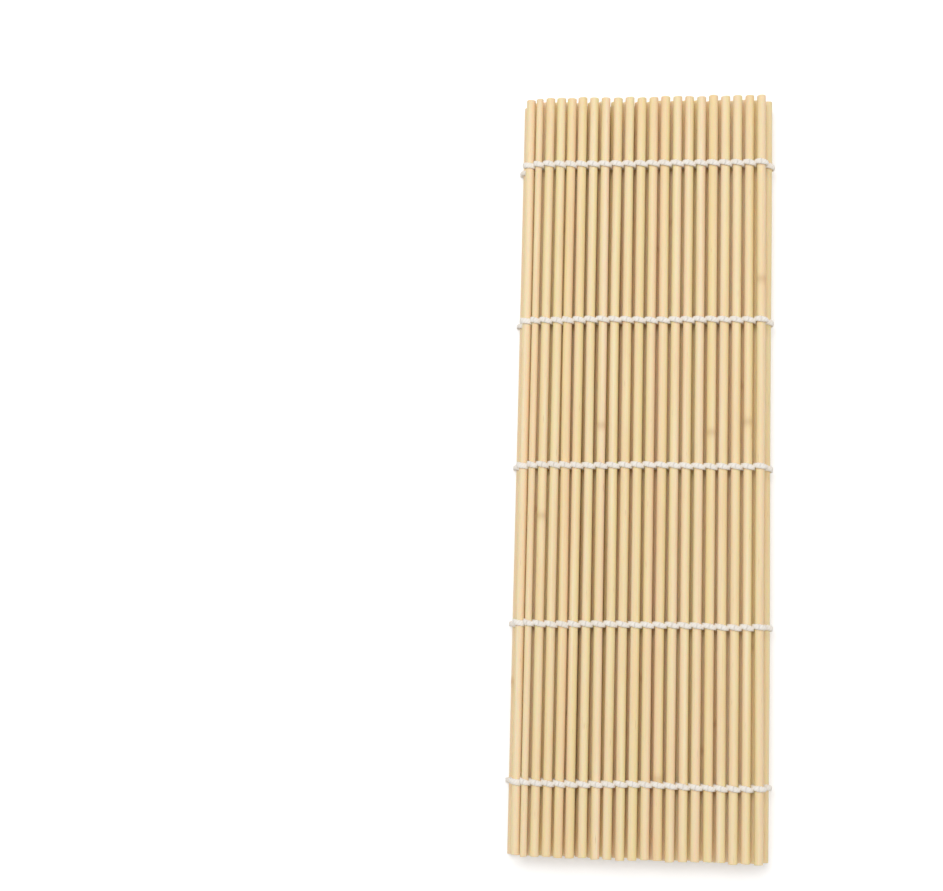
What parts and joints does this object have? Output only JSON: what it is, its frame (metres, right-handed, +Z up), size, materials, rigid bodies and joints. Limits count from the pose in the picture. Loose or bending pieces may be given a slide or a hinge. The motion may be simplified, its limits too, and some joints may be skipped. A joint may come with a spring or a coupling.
{
  "type": "sushi rolling mat",
  "caption": "Bamboo sushi rolling mat of round sticks twined together with cotton, folded in three, with unfolding panels and a top panel that curls stick by stick.",
  "frame": {"origin": "under the middle of the folded mat, on the surface it lies on", "axes": "+Y along the sticks, +X across them towards the top panel's free edge and the lower fold, +Z up"},
  "size_m": [0.0834, 0.24, 0.0146],
  "materials": {
    "bamboo": "bare split bamboo, smooth, not varnished",
    "twine": "off-white two-strand cotton twine"
  },
  "bodies": {
    "bottom_panel": {"bottom_sticks": "bamboo", "bottom_twine_row_1": "twine", "bottom_twine_row_2": "twine", "bottom_twine_row_3": "twine", "bottom_twine_row_4": "twine", "bottom_twine_row_5": "twine", "right_fold_links": "twine"},
    "right_fold_edge": {"right_fold_stick": "bamboo", "right_fold_twine": "twine"},
    "middle_panel": {"middle_sticks": "bamboo", "middle_twine_row_1": "twine", "middle_twine_row_2": "twine", "middle_twine_row_3": "twine", "middle_twine_row_4": "twine", "middle_twine_row_5": "twine", "left_fold_links": "twine"},
    "top_01": {"top_stick_01": "bamboo", "top_twine_01": "twine"},
    "top_02": {"top_stick_02": "bamboo", "top_twine_02": "twine"},
    "top_03": {"top_stick_03": "bamboo", "top_twine_03": "twine"},
    "top_04": {"top_stick_04": "bamboo", "top_twine_04": "twine"},
    "top_05": {"top_stick_05": "bamboo", "top_twine_05": "twine"},
    "top_06": {"top_stick_06": "bamboo", "top_twine_06": "twine"},
    "top_07": {"top_stick_07": "bamboo", "top_twine_07": "twine"},
    "top_08": {"top_stick_08": "bamboo", "top_twine_08": "twine"},
    "top_09": {"top_stick_09": "bamboo", "top_twine_09": "twine"},
    "top_10": {"top_stick_10": "bamboo", "top_twine_10": "twine"},
    "top_11": {"top_stick_11": "bamboo", "top_twine_11": "twine"},
    "top_12": {"top_stick_12": "bamboo", "top_twine_12": "twine"},
    "top_13": {"top_stick_13": "bamboo", "top_twine_13": "twine"},
    "top_14": {"top_stick_14": "bamboo", "top_twine_14": "twine"},
    "top_15": {"top_stick_15": "bamboo", "top_twine_15": "twine"},
    "top_16": {"top_stick_16": "bamboo", "top_twine_16": "twine"},
    "top_17": {"top_stick_17": "bamboo", "top_twine_17": "twine"},
    "top_18": {"top_stick_18": "bamboo", "top_twine_18": "twine"},
    "top_19": {"top_stick_19": "bamboo", "top_twine_19": "twine"},
    "top_20": {"top_stick_20": "bamboo", "top_twine_20": "twine"},
    "top_21": {"top_stick_21": "bamboo", "top_twine_21": "twine"}
  },
  "joints": [
    {"name": "fold_right", "type": "hinge", "parent": "bottom_panel", "child": "right_fold_edge", "pos_m": [0.03954, 0, 0.00356], "axis": [0, 1, 0], "range_deg": [0, 130], "deforming": ["right_fold_links"]},
    {"name": "crease_right", "type": "hinge", "parent": "right_fold_edge", "child": "middle_panel", "pos_m": [0.03809, 0, 0.00724], "axis": [0, 1, 0], "range_deg": [0, 50]},
    {"name": "fold_left", "type": "hinge", "parent": "middle_panel", "child": "top_01", "pos_m": [-0.03831, 0, 0.00849], "axis": [0, -1, 0], "range_deg": [0, 130], "deforming": ["left_fold_links"]},
    {"name": "crease_left", "type": "hinge", "parent": "top_01", "child": "top_02", "pos_m": [-0.03687, 0, 0.01217], "axis": [0, -1, 0], "range_deg": [0, 50]},
    {"name": "curl_01", "type": "hinge", "parent": "top_02", "child": "top_03", "pos_m": [-0.03306, 0, 0.01217], "axis": [0, -1, 0], "range_deg": [0, 15]},
    {"name": "curl_02", "type": "hinge", "parent": "top_03", "child": "top_04", "pos_m": [-0.02925, 0, 0.01217], "axis": [0, -1, 0], "range_deg": [0, 15]},
    {"name": "curl_03", "type": "hinge", "parent": "top_04", "child": "top_05", "pos_m": [-0.02544, 0, 0.01217], "axis": [0, -1, 0], "range_deg": [0, 15]},
    {"name": "curl_04", "type": "hinge", "parent": "top_05", "child": "top_06", "pos_m": [-0.02163, 0, 0.01217], "axis": [0, -1, 0], "range_deg": [0, 15]},
    {"name": "curl_05", "type": "hinge", "parent": "top_06", "child": "top_07", "pos_m": [-0.01782, 0, 0.01217], "axis": [0, -1, 0], "range_deg": [0, 15]},
    {"name": "curl_06", "type": "hinge", "parent": "top_07", "child": "top_08", "pos_m": [-0.01401, 0, 0.01217], "axis": [0, -1, 0], "range_deg": [0, 15]},
    {"name": "curl_07", "type": "hinge", "parent": "top_08", "child": "top_09", "pos_m": [-0.0102, 0, 0.01217], "axis": [0, -1, 0], "range_deg": [0, 15]},
    {"name": "curl_08", "type": "hinge", "parent": "top_09", "child": "top_10", "pos_m": [-0.00639, 0, 0.01217], "axis": [0, -1, 0], "range_deg": [0, 15]},
    {"name": "curl_09", "type": "hinge", "parent": "top_10", "child": "top_11", "pos_m": [-0.00258, 0, 0.01217], "axis": [0, -1, 0], "range_deg": [0, 15]},
    {"name": "curl_10", "type": "hinge", "parent": "top_11", "child": "top_12", "pos_m": [0.00123, 0, 0.01217], "axis": [0, -1, 0], "range_deg": [0, 15]},
    {"name": "curl_11", "type": "hinge", "parent": "top_12", "child": "top_13", "pos_m": [0.00504, 0, 0.01217], "axis": [0, -1, 0], "range_deg": [0, 15]},
    {"name": "curl_12", "type": "hinge", "parent": "top_13", "child": "top_14", "pos_m": [0.00885, 0, 0.01217], "axis": [0, -1, 0], "range_deg": [0, 15]},
    {"name": "curl_13", "type": "hinge", "parent": "top_14", "child": "top_15", "pos_m": [0.01266, 0, 0.01217], "axis": [0, -1, 0], "range_deg": [0, 15]},
    {"name": "curl_14", "type": "hinge", "parent": "top_15", "child": "top_16", "pos_m": [0.01647, 0, 0.01217], "axis": [0, -1, 0], "range_deg": [0, 15]},
    {"name": "curl_15", "type": "hinge", "parent": "top_16", "child": "top_17", "pos_m": [0.02028, 0, 0.01217], "axis": [0, -1, 0], "range_deg": [0, 15]},
    {"name": "curl_16", "type": "hinge", "parent": "top_17", "child": "top_18", "pos_m": [0.02409, 0, 0.01217], "axis": [0, -1, 0], "range_deg": [0, 15]},
    {"name": "curl_17", "type": "hinge", "parent": "top_18", "child": "top_19", "pos_m": [0.0279, 0, 0.01217], "axis": [0, -1, 0], "range_deg": [0, 15]},
    {"name": "curl_18", "type": "hinge", "parent": "top_19", "child": "top_20", "pos_m": [0.03171, 0, 0.01217], "axis": [0, -1, 0], "range_deg": [0, 15]},
    {"name": "curl_19", "type": "hinge", "parent": "top_20", "child": "top_21", "pos_m": [0.03552, 0, 0.01217], "axis": [0, -1, 0], "range_deg": [0, 15]}
  ],
  "couplings": [
    {"joint": "crease_right", "follows": "fold_right", "ratio": 0.38461},
    {"joint": "crease_left", "follows": "fold_left", "ratio": 0.38461},
    {"joint": "curl_02", "follows": "curl_01", "ratio": 1},
    {"joint": "curl_03", "follows": "curl_01", "ratio": 1},
    {"joint": "curl_04", "follows": "curl_01", "ratio": 1},
    {"joint": "curl_05", "follows": "curl_01", "ratio": 1},
    {"joint": "curl_06", "follows": "curl_01", "ratio": 1},
    {"joint": "curl_07", "follows": "curl_01", "ratio": 1},
    {"joint": "curl_08", "follows": "curl_01", "ratio": 1},
    {"joint": "curl_09", "follows": "curl_01", "ratio": 1},
    {"joint": "curl_10", "follows": "curl_01", "ratio": 1},
    {"joint": "curl_11", "follows": "curl_01", "ratio": 1},
    {"joint": "curl_12", "follows": "curl_01", "ratio": 1},
    {"joint": "curl_13", "follows": "curl_01", "ratio": 1},
    {"joint": "curl_14", "follows": "curl_01", "ratio": 1},
    {"joint": "curl_15", "follows": "curl_01", "ratio": 1},
    {"joint": "curl_16", "follows": "curl_01", "ratio": 1},
    {"joint": "curl_17", "follows": "curl_01", "ratio": 1},
    {"joint": "curl_18", "follows": "curl_01", "ratio": 1},
    {"joint": "curl_19", "follows": "curl_01", "ratio": 1}
  ]
}
